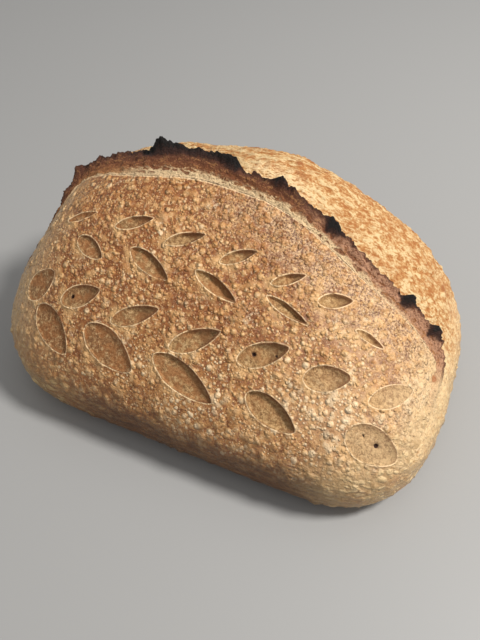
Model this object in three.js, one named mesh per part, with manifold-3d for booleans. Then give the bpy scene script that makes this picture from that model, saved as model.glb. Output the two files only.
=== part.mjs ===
// A hand-shaped sourdough loaf, whole and uncut, in millimetres with +Z up.
// +X runs along the loaf and -Y is the broad front flap. The origin is on the flat base, at the middle.
// The plan and the profile are superellipses. A scored ear lifts along the top, the dough behind it sinks
// a little, and four rows of leaf-shaped scores are cut into the flap.
import * as THREE from "three";
import { mergeVertices } from "three/addons/utils/BufferGeometryUtils.js";
import Module from "manifold-3d";

// The plain dough
const LENGTH = 250;
const BREADTH = 152; // across the waist
const CROWN = 112; // height of the top at mid length
const WAIST = 26; // height of the widest line
const PLAN_SQUARENESS = 3.9; // 2 is an ellipse, more is boxier
const DOME_SQUARENESS = 1.7; // above the waist
const FOOT_SQUARENESS = 4.5; // below the waist
const FOOT_DEPTH = 1.12; // how far the foot would reach, in waists: past 1 it is cut flat
const LEAN = 0.53; // how far the dome leans back for each millimetre above the waist, high up
const LEAN_START = 10; // height above the waist over which the lean sets in
const TAPER = 0.08; // how much broader the right end is than the middle
const DROOP = 0.134; // how much lower the right end is than the middle
const LENGTH_CELLS = 30;
const BREADTH_CELLS = 19;
const HEIGHT_CELLS = 15;

// Where the oven has pushed the dough out, or its own weight has drawn it in: middle, how far, and spread
const HEART = new THREE.Vector3(0, 15, 45);
const SWELL_BIAS = new THREE.Vector3(0.55, 1, 1.2); // swellings push more upwards than lengthwise
const SWELLINGS = [
  { at: new THREE.Vector3(-96, 24, 76), by: 6.5, spread: 24 },
  { at: new THREE.Vector3(12, 62, 92), by: 3.5, spread: 22 },
  { at: new THREE.Vector3(-120, 22, 55), by: -4.5, spread: 23 },
  { at: new THREE.Vector3(-118, -60, 35), by: -2.8, spread: 22 },
  { at: new THREE.Vector3(-84, -76, 20), by: 3, spread: 20 },
  { at: new THREE.Vector3(95, -82, 18), by: 3.2, spread: 20 },
  { at: new THREE.Vector3(122, -60, 25), by: -2, spread: 22 },
  { at: new THREE.Vector3(126, -10, 40), by: 1.5, spread: 22 },
  { at: new THREE.Vector3(95, 70, 60), by: 1.8, spread: 22 },
  { at: new THREE.Vector3(-10, 82, 88), by: 2.1, spread: 22 },
  { at: new THREE.Vector3(-72, 46, 100), by: -4.5, spread: 12 },
];

// The ear: the route of its root, as places in the plan of the plain dough before it leans
const EAR_ROUTE = [
  [-116, -29],
  [-109, -13],
  [-96, 4],
  [-76, -1],
  [-50, -9],
  [-12, -11.5],
  [25, -13],
  [69, -15.5],
  [106, -7],
  [115.5, -6],
  [117.5, -23],
];
const EAR_STATIONS = 72;
const EAR_LIFT = 7.4; // at its highest, square to the crust
const EAR_LEAST = 0.5; // lift at its two ends
const EAR_RISEN = 0.3; // share of the way along it at which it stands at its full lift
const EAR_SINKS = [0.4, 0.9]; // shares between which it loses a part of its lift
const EAR_SUNK = 0.25; // that part
const EAR_DIES = 0.86; // share from which it dies away
const EAR_BAND = 12; // width of its sloping front at the widest
const EAR_BAND_END = 5; // and at its ends
const EAR_BAND_AT = 0.32; // share of the way along it at which the front is widest
const EAR_BAND_SPREAD = 0.24;
// Its front from the foot up: how far forward as a share of the front's width, how high as a share of the lift
const EAR_FRONT = [
  [0.55, 0.38],
  [0.1, 0.86],
];
const EAR_LIP_BACK = 0.88; // height of the lip's back edge, as a share of the lift
const EAR_HOLLOW = [0.6, 0.35]; // under the lip: how far back in thicknesses, how high as a share of the lift
const EAR_TILT = 0.25; // how far the lip leans back, for each millimetre of lift
const EAR_EDGE = 1.6; // thickness of the lip
const EAR_ROOT = 2.5; // how deep the ear is set into the loaf
const FURROW_DEPTH = 2.5; // the dip right behind the ear
const FURROW_PLACE = 7;
const FURROW_SPREAD = 5;
const SADDLE_DEPTH = 7.5; // the broad sunken stretch behind the ear
const SADDLE_X = -32;
const SADDLE_SPREAD = 36;
const SADDLE_START = 8; // how far behind the ear it reaches its depth
const SADDLE_FADES = [25, 85]; // and between which distances it runs out

// The leaf cuts, a row at a time: place along the loaf, place across in the plan, turn in degrees,
// length, width and depth
const LEAF_ROWS = [
  [
    [-77, -38, 0, 19, 4, 0.8],
    [-46, -41, 23, 21, 6, 1.6],
    [-17, -41, 33, 21, 6, 2.2],
    [12, -40, 39, 19, 6, 2.2],
    [39, -40, 44, 17, 5, 2.2],
    [63, -37, 45, 17, 7, 2.2],
  ],
  [
    [-66, -50, -37, 19, 9, 1.2],
    [-31, -51, -19, 26, 9, 2],
    [6, -50, -15, 26, 7, 2.4],
    [43, -48, -7, 24, 5, 2.2],
    [83, -38, 17, 16, 4, 1.6],
  ],
  [
    [-92, -57, 12, 23, 14, 0.8],
    [-64, -62, 18, 24, 11, 1.3],
    [-31, -63, 33, 27, 9, 1.6],
    [3, -63, 39, 28, 10, 2],
    [38, -60, 39, 26, 11, 2.2],
    [70, -57, 41, 22, 12, 1.4],
    [100, -45, 71, 25, 10, 0.6],
  ],
  [
    [-77, -68, -67, 31, 16, 0.9],
    [-41, -70, -27, 34, 17, 1],
    [2, -70, -17, 38, 14, 1.6],
    [49, -69, -10, 29, 13, 2.2],
    [98, -60, 27, 28, 17, 1],
  ],
];
const CUTTER_ABOVE = 1; // how far a cutter's middle stands above the crust
const CUTTER_SIDES = 12;
const CUTTER_RINGS = 6;

const PROBE = 0.2; // step for measuring slopes

const wasm = await Module();
wasm.setup();

// How far the unit superellipse reaches at an angle.
function reach(angle, squareness) {
  const across = Math.abs(Math.cos(angle)) ** squareness;
  const up = Math.abs(Math.sin(angle)) ** squareness;
  return (across + up) ** (-1 / squareness);
}

// 0 before one edge, 1 after the other, and an easy curve between them.
const ease = (from, to, value) => THREE.MathUtils.smoothstep(value, from, to);

const bell = (distance, spread) => Math.exp(-((distance / spread) ** 2));

// A place on the dough: u along and v across run from -1 to 1, w from -1 at the foot to 1 at the crown.
function doughPlace(u, v, w) {
  const level = w > 0 ? WAIST + (CROWN - WAIST) * w : Math.max(0, WAIST * (1 + FOOT_DEPTH * w));
  const z = level * (1 - DROOP * u);
  const above = Math.max(z - WAIST, 0);
  const leaned = (LEAN * above * above) / (above + LEAN_START);
  const y = (BREADTH / 2) * v * (1 + TAPER * u) + leaned;
  return swell(new THREE.Vector3((LENGTH / 2) * u, y, z));
}

// The crust pushed out where the loaf has swollen.
function swell(point) {
  const outward = point.clone().sub(HEART);
  outward.multiply(SWELL_BIAS).normalize();
  const moved = point.clone();
  for (const { at, by, spread } of SWELLINGS) {
    const away = point.distanceTo(at);
    moved.addScaledVector(outward, by * Math.exp((-away * away) / (2 * spread * spread)));
  }
  moved.z = Math.max(moved.z, 0);
  return moved;
}

// The point of the crust in a direction from the middle.
function doughToward(direction) {
  const turn = Math.atan2(direction.y, direction.x);
  const rise = Math.atan2(direction.z, Math.hypot(direction.x, direction.y));
  const profile = reach(rise, rise > 0 ? DOME_SQUARENESS : FOOT_SQUARENESS);
  const plan = reach(turn, PLAN_SQUARENESS) * profile * Math.cos(rise);
  return doughPlace(Math.cos(turn) * plan, Math.sin(turn) * plan, Math.sin(rise) * profile);
}

// The point of the upper crust over a place in the plan.
function doughOver(x, across) {
  const u = x / (LENGTH / 2);
  const v = across / (BREADTH / 2);
  const out = (Math.abs(u) ** PLAN_SQUARENESS + Math.abs(v) ** PLAN_SQUARENESS) ** (1 / PLAN_SQUARENESS);
  const w = Math.max(1 - out ** DOME_SQUARENESS, 0) ** (1 / DOME_SQUARENESS);
  return doughPlace(u, v, w);
}

// The crust over a place: its point, its outward normal, and the crust's own +X and +Y directions there.
function crustFrame(x, across) {
  const point = doughOver(x, across);
  const along = doughOver(x + PROBE, across).sub(point);
  const back = doughOver(x, across + PROBE).sub(point);
  const normal = new THREE.Vector3().crossVectors(along, back).normalize();
  along.addScaledVector(normal, -along.dot(normal)).normalize();
  back.crossVectors(normal, along);
  return { point, normal, along, back };
}

// Stations along the ear's root, each with the directions along it, out of the crust and backwards.
function earStations() {
  const points = EAR_ROUTE.map(([x, across]) => new THREE.Vector3(x, across, 0));
  const route = new THREE.CatmullRomCurve3(points, false, "catmullrom");
  const stations = [];
  for (let i = 0; i <= EAR_STATIONS; i++) {
    const place = route.getPoint(i / EAR_STATIONS);
    stations.push(crustFrame(place.x, place.y));
  }
  stations.forEach((station, i) => {
    const before = stations[Math.max(i - 1, 0)].point;
    const after = stations[Math.min(i + 1, EAR_STATIONS)].point;
    station.run = after.clone().sub(before).normalize();
    station.back = new THREE.Vector3().crossVectors(station.normal, station.run).normalize();
    station.share = i / EAR_STATIONS;
  });
  return stations;
}

const STATIONS = earStations();

// The ear's lift at a share of the way along it: it rises over the left third and dies away at the right.
function earLift(share) {
  const sinking = 1 - EAR_SUNK * ease(...EAR_SINKS, share);
  const whole = EAR_LIFT * ease(0, EAR_RISEN, share) * sinking * (1 - ease(EAR_DIES, 1, share));
  return Math.max(whole, EAR_LEAST);
}

function earBand(share) {
  return EAR_BAND_END + (EAR_BAND - EAR_BAND_END) * bell(share - EAR_BAND_AT, EAR_BAND_SPREAD);
}

// The crust behind the ear let down into its furrow and saddle.
function sink(point) {
  let nearest = STATIONS[0];
  let least = Infinity;
  for (const station of STATIONS) {
    const gap = station.point.distanceToSquared(point);
    if (gap < least) {
      least = gap;
      nearest = station;
    }
  }
  const away = point.clone().sub(nearest.point);
  const behind = away.dot(nearest.back);
  if (behind <= 0 || point.z < WAIST) return point;
  const past = Math.abs(away.dot(nearest.run));
  const lift = earLift(nearest.share) / EAR_LIFT;
  const furrow = FURROW_DEPTH * lift * bell(behind - FURROW_PLACE, FURROW_SPREAD) * bell(past, EAR_BAND);
  const broad = ease(0, SADDLE_START, behind) * (1 - ease(...SADDLE_FADES, behind));
  const saddle = SADDLE_DEPTH * bell(point.x - SADDLE_X, SADDLE_SPREAD) * broad;
  return point.clone().addScaledVector(nearest.normal, -furrow - saddle);
}

// A closed geometry as a manifold-3d solid, with its shared vertices merged.
function solidOf(geometry) {
  const bare = geometry.clone();
  bare.deleteAttribute("normal");
  bare.deleteAttribute("uv");
  const merged = mergeVertices(bare, 1e-3);
  return new wasm.Manifold(
    new wasm.Mesh({
      numProp: 3,
      vertProperties: merged.attributes.position.array,
      triVerts: new Uint32Array(merged.index.array),
    }),
  );
}

// A manifold-3d solid as a geometry.
function geometryOf(solid) {
  const mesh = solid.getMesh();
  const positions = new Float32Array(mesh.numVert * 3);
  for (let i = 0; i < mesh.numVert; i++) {
    const start = i * mesh.numProp;
    positions.set(mesh.vertProperties.subarray(start, start + 3), i * 3);
  }
  const geometry = new THREE.BufferGeometry();
  geometry.setAttribute("position", new THREE.BufferAttribute(positions, 3));
  geometry.setIndex(new THREE.BufferAttribute(mesh.triVerts, 1));
  return geometry;
}

// The loaf without its lip: a box of cells blown out to the dough's shape.
function doughSolid() {
  const box = new THREE.BoxGeometry(2, 2, 2, LENGTH_CELLS, BREADTH_CELLS, HEIGHT_CELLS);
  const position = box.attributes.position;
  const corner = new THREE.Vector3();
  for (let i = 0; i < position.count; i++) {
    corner.fromBufferAttribute(position, i);
    // Even angles between the cells, rather than even steps on the box's flat sides
    const direction = new THREE.Vector3(
      Math.tan((corner.x * Math.PI) / 4),
      Math.tan((corner.y * Math.PI) / 4),
      Math.tan((corner.z * Math.PI) / 4),
    );
    const point = sink(doughToward(direction));
    position.setXYZ(i, point.x, point.y, point.z);
  }
  return solidOf(box);
}

// The ear's section at a station, going round from its front foot: [backwards, out of the crust].
function earSection(share) {
  const lift = earLift(share);
  const band = earBand(share);
  const tip = EAR_TILT * lift;
  const front = EAR_FRONT.map(([forward, high]) => [-band * forward, lift * high]);
  return [
    [-band, -EAR_ROOT / 2],
    ...front,
    [tip, lift],
    [tip + EAR_EDGE, lift * EAR_LIP_BACK],
    [EAR_EDGE * EAR_HOLLOW[0], lift * EAR_HOLLOW[1]],
    [EAR_EDGE, -EAR_ROOT],
    [-band / 2, -EAR_ROOT * 1.5],
  ];
}

// The ear: its section carried along its root, with both ends closed.
function earSolid() {
  const positions = [];
  const index = [];
  const corners = earSection(0).length;
  for (const { point, normal, back, share } of STATIONS) {
    for (const [backwards, out] of earSection(share)) {
      const corner = point.clone().addScaledVector(back, backwards).addScaledVector(normal, out);
      positions.push(corner.x, corner.y, corner.z);
    }
  }
  for (let i = 0; i < EAR_STATIONS; i++) {
    for (let j = 0; j < corners; j++) {
      const here = i * corners + j;
      const beside = i * corners + ((j + 1) % corners);
      index.push(here, here + corners, beside);
      index.push(beside, here + corners, beside + corners);
    }
  }
  const last = EAR_STATIONS * corners;
  for (let j = 1; j < corners - 1; j++) {
    index.push(0, j, j + 1);
    index.push(last, last + j + 1, last + j);
  }
  const geometry = new THREE.BufferGeometry();
  geometry.setAttribute("position", new THREE.Float32BufferAttribute(positions, 3));
  geometry.setIndex(index);
  return solidOf(geometry);
}

// The lens that one leaf score takes out of the crust.
function leafCutter([x, across, turn, length, width, depth]) {
  const { point, normal, along, back } = crustFrame(x, across);
  const angle = THREE.MathUtils.degToRad(turn);
  const lengthwise = along.clone().multiplyScalar(Math.cos(angle)).addScaledVector(back, Math.sin(angle));
  const widthwise = new THREE.Vector3().crossVectors(normal, lengthwise);
  const turned = new THREE.Matrix4().makeBasis(
    lengthwise.multiplyScalar(length / 2),
    widthwise.multiplyScalar(width / 2),
    normal.clone().multiplyScalar(depth + CUTTER_ABOVE),
  );
  turned.setPosition(point.addScaledVector(normal, CUTTER_ABOVE));
  const lens = new THREE.SphereGeometry(1, CUTTER_SIDES, CUTTER_RINGS);
  return solidOf(lens.applyMatrix4(turned));
}

function loafGeometry() {
  let loaf = doughSolid().add(earSolid());
  for (const row of LEAF_ROWS) {
    for (const leaf of row) loaf = loaf.subtract(leafCutter(leaf));
  }
  const geometry = geometryOf(loaf);
  geometry.computeBoundingBox();
  const middle = geometry.boundingBox.getCenter(new THREE.Vector3());
  return geometry.translate(-middle.x, -middle.y, 0);
}

const crust = new THREE.MeshStandardMaterial({ color: 0xb07a42, roughness: 0.8, metalness: 0 });
const loaf = new THREE.Mesh(loafGeometry(), crust);
loaf.name = "loaf";

const group = new THREE.Group();
group.add(loaf);

export default group;
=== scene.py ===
"""A hand-shaped sourdough loaf: blistered flap with leaf scores, a charred ear and an open, streaked top."""

import math
from types import SimpleNamespace

import bmesh
import bpy
from bpy.props import FloatProperty, FloatVectorProperty, PointerProperty
from mathutils import Matrix, Vector, kdtree, noise


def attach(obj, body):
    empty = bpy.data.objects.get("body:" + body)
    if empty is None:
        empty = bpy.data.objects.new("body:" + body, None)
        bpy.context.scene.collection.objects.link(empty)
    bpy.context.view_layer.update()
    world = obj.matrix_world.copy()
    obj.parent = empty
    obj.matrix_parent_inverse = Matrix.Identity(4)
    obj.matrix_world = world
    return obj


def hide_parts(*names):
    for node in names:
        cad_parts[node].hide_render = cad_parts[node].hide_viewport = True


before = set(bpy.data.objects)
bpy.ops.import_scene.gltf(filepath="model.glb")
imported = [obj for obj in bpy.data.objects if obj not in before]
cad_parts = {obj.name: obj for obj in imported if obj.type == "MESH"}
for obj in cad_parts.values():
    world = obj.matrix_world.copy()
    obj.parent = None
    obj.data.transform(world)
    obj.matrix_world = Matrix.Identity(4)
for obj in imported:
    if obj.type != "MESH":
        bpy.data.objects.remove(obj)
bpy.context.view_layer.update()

bl_info = {
    "name": "Sourdough Loaf",
    "version": (1, 0, 0),
    "blender": (4, 5, 0),
    "location": "3D View > Sidebar > Loaf",
    "description": "Models a scored sourdough loaf and a plain stage for it",
    "category": "Add Mesh",
}

MM = 0.001  # every shape below is worked out in millimetres and made metres at the end

# The plain dough, as the CAD has it; a fit of the outline gave its squareness, lean, taper and droop
PLAN_SQUARENESS = 3.9
DOME_SQUARENESS = 1.7
FOOT_SQUARENESS = 4.5
FOOT_DEPTH = 1.12
LEAN = 0.53
LEAN_START = 10
TAPER = 0.08
DROOP = 0.134
MIDDLE = Vector((-0.74, -2.33, 0))  # moves the dough so that its box stands over the origin
HEART = Vector((0, 15, 45))
# Where the oven pushed the dough out or left it flat: middle, how far, how wide a spread.
# The middles are chosen by hand; six of the amounts are rounded results of a fitting script.
SWELLINGS = [
    (Vector((-96, 24, 76)), 6.5, 24),
    (Vector((12, 62, 92)), 3.5, 22),
    (Vector((-120, 22, 55)), -4.5, 23),
    (Vector((-118, -60, 35)), -2.8, 22),
    (Vector((-84, -76, 20)), 3, 20),
    (Vector((95, -82, 18)), 3.2, 20),
    (Vector((122, -60, 25)), -2, 22),
    (Vector((126, -10, 40)), 1.5, 22),
    (Vector((95, 70, 60)), 1.8, 22),
    (Vector((-10, 82, 88)), 2.1, 22),
    (Vector((-72, 46, 100)), -4.5, 12),
]

# The ear: places of its root in the plan of the plain dough, from the left end to the right
EAR_ROUTE = [
    (-116, -29), (-109, -13), (-96, 4), (-76, -1), (-50, -9), (-12, -11.5),
    (25, -13), (69, -15.5), (106, -7), (115.5, -6), (117.5, -23),
]
EAR_STEPS = 40  # stations between two places of the route
EAR_BAND_END = 5
EAR_FADE = 6  # how far the ear runs out past its two ends
# Out of the crust and backwards, as shares of the lift, at distances behind the root
EAR_BACK = [(0, 1), (0.8, 0.9), (2, 0.45), (3.5, -0.12), (6, -0.38), (10, -0.3), (18, -0.1), (30, 0)]
EAR_LEAN = [(-6, 0), (0, 0.25), (0.8, 0.2), (2, -0.08), (3.5, -0.3), (6, -0.2), (10, 0)]
SADDLE_DEPTH = 7.5
SADDLE_X = -32
SADDLE_SPREAD = 36
# Lumps and notches of the crest: place along the loaf, how far out, spread
CREST_LUMPS = [
    (-105.5, 2.2, 1.6), (-100, 3.8, 2.4), (-90, 0.7, 3), (-72, 0.8, 3), (-46, 5.6, 4), (-38, 3.2, 5),
    (-26, 1.4, 5), (-14, 2.2, 4), (-7, 3.6, 3), (1.5, -3.4, 3), (11, -1.6, 3), (19.5, 3.8, 2.6),
    (25, 1.6, 2.4), (36, -0.4, 3), (47, 3.6, 2.6), (52, 1, 2), (57, 1.6, 2.6), (66, 0.8, 3),
    (78, 0.6, 2), (91, 3.6, 2.4), (96, 1.2, 2), (106, 3.4, 2.6), (110, 1.4, 2),
]
# How burnt the crest is, from 0 to 1, along the loaf
CREST_CHAR = [
    (-120, 0.2), (-104, 0.4), (-96, 0.25), (-64, 0.3), (-54, 1), (-36, 0.85), (-12, 0.85),
    (-4, 1), (1, 0.25), (13, 0.25), (17, 0.8), (21, 0.75), (26, 0.4), (42, 0.35),
    (46, 1), (51, 0.85), (55, 0.5), (60, 0.55), (64, 0.35), (86, 0.35), (89, 1),
    (92, 0.85), (96, 0.5), (102, 0.4), (105, 0.95), (108, 0.7), (112, 0.25),
]
# Small toasted spots on the dough: middle, radius, how far they stand out
TOASTED_SPOTS = [
    (Vector((107, 43, 55)), 3, 0.9), (Vector((116, -11, 46)), 2.4, -0.8), (Vector((114, -8, 40)), 2, -0.6),
    (Vector((34, 59, 101)), 1.8, 0.6), (Vector((21, 53, 108)), 3, 0.4), (Vector((84, 52, 84)), 2.6, 0.4),
]

# The leaf scores, a row at a time: place along the loaf, place across, turn in degrees, length,
# width and depth. All but the depths came out of a fitting script and were rounded, and a few
# scores of the last row were then made narrower.
LEAVES = [
    (-77, -38, 0, 19, 4, 0.8), (-46, -41, 23, 21, 6, 1.6), (-17, -41, 33, 21, 6, 2.2),
    (12, -40, 39, 19, 6, 2.2), (39, -40, 44, 17, 5, 2.2), (63, -37, 45, 17, 7, 2.2),
    (-66, -50, -37, 19, 9, 1.2), (-31, -51, -19, 26, 9, 2), (6, -50, -15, 26, 7, 2.4),
    (43, -48, -7, 24, 5, 2.2), (83, -38, 17, 16, 4, 1.6),
    (-92, -57, 12, 23, 14, 0.8), (-64, -62, 18, 24, 11, 1.3), (-31, -63, 33, 27, 9, 1.6),
    (3, -63, 39, 28, 10, 2), (38, -60, 39, 26, 11, 2.2), (70, -57, 41, 22, 12, 1.4),
    (100, -45, 71, 25, 10, 0.6),
    (-77, -68, -67, 31, 16, 0.9), (-41, -70, -27, 34, 17, 1), (2, -70, -17, 38, 14, 1.6),
    (49, -69, -10, 29, 13, 2.2), (98, -60, 27, 28, 17, 1),
]
# Small holes in their floors: which leaf, how far along it and across it, radius
LEAF_HOLES = [
    (12, -5.5, 0.8, 1), (15, -4.5, 1.2, 1.1), (22, 2, 1, 1.2), (15, 6, -2.5, 0.6), (22, -6, 2, 0.6),
]
LEAF_SKEW = 0.2  # how much fuller a score is towards its blunt left end
LEAF_REACH = 6  # how far from its outline a score is still felt
LEAF_UPHILL = Vector((0.62, 0.6, 0.45)).normalized()  # the side on which a score is deepest
LEAF_SEARCH = 26  # no score reaches further than this from its middle
LEAF_SWING = 14  # nor does the crust leave a score's own plane by more than this

FIRST_CELLS = (62, 38, 28)  # the box's first cells along, across and up
PASSES = 5
SPLIT_OVER = 1.42  # an edge is halved when it is this many times too long
# Edge lengths wanted in the mesh
BASE_EDGE = 3.6
EAR_EDGE = 0.52
SCORE_EDGE = 0.56
BACK_EDGE = 2.0
SKIN_EDGE = 1.05
SIDE_EDGE = 1.6
PROBE = 0.2  # step for measuring slopes
BOX_PROBE = 0.01  # the same, on the box from -1 to 1

# The stage, in metres
FLOOR_HALF_WIDTH = 3
FLOOR_GREY = (0.35, 0.35, 0.35, 1)
SKY_COLOUR = (1, 0.99, 0.97, 1)
SKY_STRENGTH = 0.45
LAMP_WIDTH = 0.3
LAMP_POWER = 19
LAMP_COLOUR = (1, 0.97, 0.92)
LAMP_AIM = Vector((0, 0, 0.05))
LAMP_TOWARD = Vector((0.6, 0.12, 0.79)).normalized()
LAMP_DISTANCE = 1.3

# The camera, in degrees, millimetres and pixels of the picture it takes. A fit of the outline gave
# its angles, its distance and where its aim appears.
CAMERA_AZIMUTH = 26
CAMERA_ELEVATION = 46
CAMERA_ROLL = 3.6
CAMERA_DISTANCE = 385.5
CAMERA_AIM = Vector((0, 0, 45))
PICTURE_WIDTH_PX = 480
PICTURE_HEIGHT_PX = 640
FOCAL_LENGTH_PX = 700
AIM_X_PX = 227.84  # where in the picture the camera's aim appears
AIM_Y_PX = 304.34
SENSOR_WIDTH = 36
NEAREST_SEEN = 0.01  # in metres


def reach(angle, squareness):
    """How far the unit superellipse reaches at an angle."""
    across = abs(math.cos(angle)) ** squareness
    up = abs(math.sin(angle)) ** squareness
    return (across + up) ** (-1 / squareness)


def ease(start, end, value):
    """0 before start, 1 after end, and an easy curve between them."""
    share = min(max((value - start) / (end - start), 0), 1)
    return share * share * (3 - 2 * share)


def bell(distance, spread):
    return math.exp(-((distance / spread) ** 2))


def on_line(knots, value):
    """Height at value of the broken line through the knots."""
    if value <= knots[0][0]:
        return knots[0][1]
    for (x0, y0), (x1, y1) in zip(knots, knots[1:]):
        if value <= x1:
            return y0 + (y1 - y0) * (value - x0) / (x1 - x0)
    return knots[-1][1]


def from_screen(red, green, blue):
    """A linear colour from the 0 to 255 numbers that a paint program shows."""
    shares = [c / 255 for c in (red, green, blue)]
    return tuple(c / 12.92 if c <= 0.04045 else ((c + 0.055) / 1.055) ** 2.4 for c in shares)


class Dough:
    """The plain dough before its ear and its scores, in millimetres."""

    def __init__(self, form):
        self.half_length = form.length / 2 / MM
        self.half_breadth = form.breadth / 2 / MM
        self.crown = form.crown / MM
        self.waist = form.waist / MM

    def place(self, u, v, w):
        """A place on the dough: u along and v across from -1 to 1, w from the foot to the crown."""
        rise = (self.crown - self.waist) * w if w > 0 else self.waist * FOOT_DEPTH * w
        z = max(0, self.waist + rise) * (1 - DROOP * u)
        above = max(z - self.waist, 0)
        leaned = LEAN * above * above / (above + LEAN_START)
        y = self.half_breadth * v * (1 + TAPER * u) + leaned
        return self.swell(Vector((self.half_length * u, y, z)))

    def swell(self, point):
        outward = (point - HEART) * Vector((0.55, 1, 1.2))
        outward.normalize()
        moved = point.copy()
        for middle, by, spread in SWELLINGS:
            away = (point - middle).length
            moved += outward * by * math.exp(-away * away / (2 * spread * spread))
        moved.z = max(moved.z, 0)
        return moved

    def of_box(self, corner):
        """The dough's point for a point of the box from -1 to 1, at even angles between the box's cells."""
        x, y, z = (math.tan(c * math.pi / 4) for c in corner)
        turn = math.atan2(y, x)
        rise = math.atan2(z, math.hypot(x, y))
        profile = reach(rise, DOME_SQUARENESS if rise > 0 else FOOT_SQUARENESS)
        plan = reach(turn, PLAN_SQUARENESS) * profile * math.cos(rise)
        return self.place(math.cos(turn) * plan, math.sin(turn) * plan, math.sin(rise) * profile)

    def over(self, x, across):
        """The upper crust's point over a place in the plan."""
        u = x / self.half_length
        v = across / self.half_breadth
        out = (abs(u) ** PLAN_SQUARENESS + abs(v) ** PLAN_SQUARENESS) ** (1 / PLAN_SQUARENESS)
        return self.place(u, v, max(1 - out**DOME_SQUARENESS, 0) ** (1 / DOME_SQUARENESS))

    def lie(self, x, across):
        """The crust over a place: its point, outward normal, and its own +X and +Y directions there."""
        point = self.over(x, across)
        along = self.over(x + PROBE, across) - point
        back = self.over(x, across + PROBE) - point
        normal = along.cross(back).normalized()
        along = (along - normal * along.dot(normal)).normalized()
        return point, normal, along, normal.cross(along)


class Ear:
    """Stations along the root of the ear, and what the ear does to the crust near them."""

    def __init__(self, dough, form):
        self.lift_most = form.ear_lift / MM
        self.band_most = form.ear_band / MM
        route = [Vector(p) for p in EAR_ROUTE]
        route = [2 * route[0] - route[1], *route, 2 * route[-1] - route[-2]]
        places = []
        for p0, p1, p2, p3 in zip(route, route[1:], route[2:], route[3:]):
            for step in range(EAR_STEPS):
                t = step / EAR_STEPS
                bend = (2 * p0 - 5 * p1 + 4 * p2 - p3) * t * t + (3 * p1 - p0 - 3 * p2 + p3) * t**3
                places.append(0.5 * (2 * p1 + (p2 - p0) * t + bend))
        places.append(route[-2])
        lies = [dough.lie(p.x, p.y) for p in places]
        self.stations = []
        gone = 0
        for i, (point, normal, _, _) in enumerate(lies):
            before = lies[max(i - 1, 0)][0]
            after = lies[min(i + 1, len(lies) - 1)][0]
            run = (after - before).normalized()
            if i:
                gone += (point - before).length
            self.stations.append((point, normal, run, normal.cross(run).normalized(), gone))
        self.length = gone
        self.tree = kdtree.KDTree(len(self.stations))
        for i, station in enumerate(self.stations):
            self.tree.insert(station[0], i)
        self.tree.balance()

    def near(self, point):
        """Nearest station, distance behind the root, distance along it, and how far past its ends."""
        _, i, _ = self.tree.find(point)
        root, normal, run, back, gone = self.stations[i]
        away = point - root
        behind = away.dot(back)
        sunk = min(away.dot(normal), 0)
        distance = math.copysign(math.sqrt(behind * behind + sunk * sunk / 2), behind)
        past = abs(away.dot(run)) if i in (0, len(self.stations) - 1) else 0
        return normal, back, distance, gone + away.dot(run), past

    def lift(self, share):
        whole = self.lift_most * ease(0, 0.3, share) * (1 - 0.25 * ease(0.4, 0.9, share))
        return max(whole * (1 - ease(0.86, 1, share)), 0.5)

    def band(self, share):
        return EAR_BAND_END + (self.band_most - EAR_BAND_END) * bell(share - 0.32, 0.24)


class Leaves:
    """The leaf scores, each with its own directions on the crust."""

    def __init__(self, dough, form):
        self.depth = form.score_depth / MM
        self.deepest = max(leaf[-1] for leaf in LEAVES)
        self.scores = []
        self.tree = kdtree.KDTree(len(LEAVES))
        for i, (x, across, turn, length, width, _) in enumerate(LEAVES):
            point, normal, along, back = dough.lie(x, across)
            angle = math.radians(turn)
            lengthwise = along * math.cos(angle) + back * math.sin(angle)
            self.scores.append((point, normal, lengthwise, normal.cross(lengthwise), length / 2, width / 2))
            self.tree.insert(point, i)
        self.tree.balance()

    def near(self, point):
        """Distance outside the nearest outline, less than 0 inside, and how far uphill in the score."""
        best = (LEAF_REACH, 0, 0)
        for _, i, _ in self.tree.find_range(point, LEAF_SEARCH):
            middle, normal, lengthwise, widthwise, long, wide = self.scores[i]
            away = point - middle
            if abs(away.dot(normal)) > LEAF_SWING:
                continue
            a = away.dot(lengthwise)
            b = away.dot(widthwise)
            if abs(a) > long + LEAF_REACH or abs(b) > wide + LEAF_REACH:
                continue
            power = 0.9 - 0.5 * wide / long
            inner = 1 - (a / long) ** 2
            if inner > 0.002:
                fuller = wide * (1 - LEAF_SKEW * a / long)
                edge = fuller * inner**power
                slope = fuller * power * inner ** (power - 1) * 2 * a / long**2
                distance = (abs(b) - edge) / math.sqrt(1 + slope * slope)
            else:
                distance = math.hypot(max(abs(a) - long, 0), b)
            if distance < best[0]:
                uphill = LEAF_UPHILL - normal * LEAF_UPHILL.dot(normal)
                best = (distance, away.dot(uphill.normalized()) / max(wide, 4), i)
        return best

    def hole(self, point, leaf):
        """How deep a point lies in one of the leaf's own holes, from 0 to 1."""
        middle, _, lengthwise, widthwise, _, _ = self.scores[leaf]
        depth = 0
        for of, along, across, radius in LEAF_HOLES:
            if of == leaf:
                away = (point - middle - lengthwise * along - widthwise * across).length
                depth = max(depth, 1 - ease(radius * 0.6, radius * 1.3, away))
        return depth


class LoafForm(bpy.types.PropertyGroup):
    """Sizes of the loaf."""

    length: FloatProperty(name="Length", description="Of the dough, end to end", default=0.25, unit="LENGTH")
    breadth: FloatProperty(name="Breadth", description="Across the waist", default=0.152, unit="LENGTH")
    crown: FloatProperty(name="Crown", description="Height of the top", default=0.112, unit="LENGTH")
    waist: FloatProperty(name="Waist", description="Height of the widest line", default=0.026, unit="LENGTH")
    ear_lift: FloatProperty(name="Ear lift", description="Of the lip", default=0.0074, unit="LENGTH")
    ear_band: FloatProperty(name="Ear band", description="Its torn front", default=0.012, unit="LENGTH")
    score_depth: FloatProperty(name="Score depth", description="Of a leaf", default=0.0026, unit="LENGTH")


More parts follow.
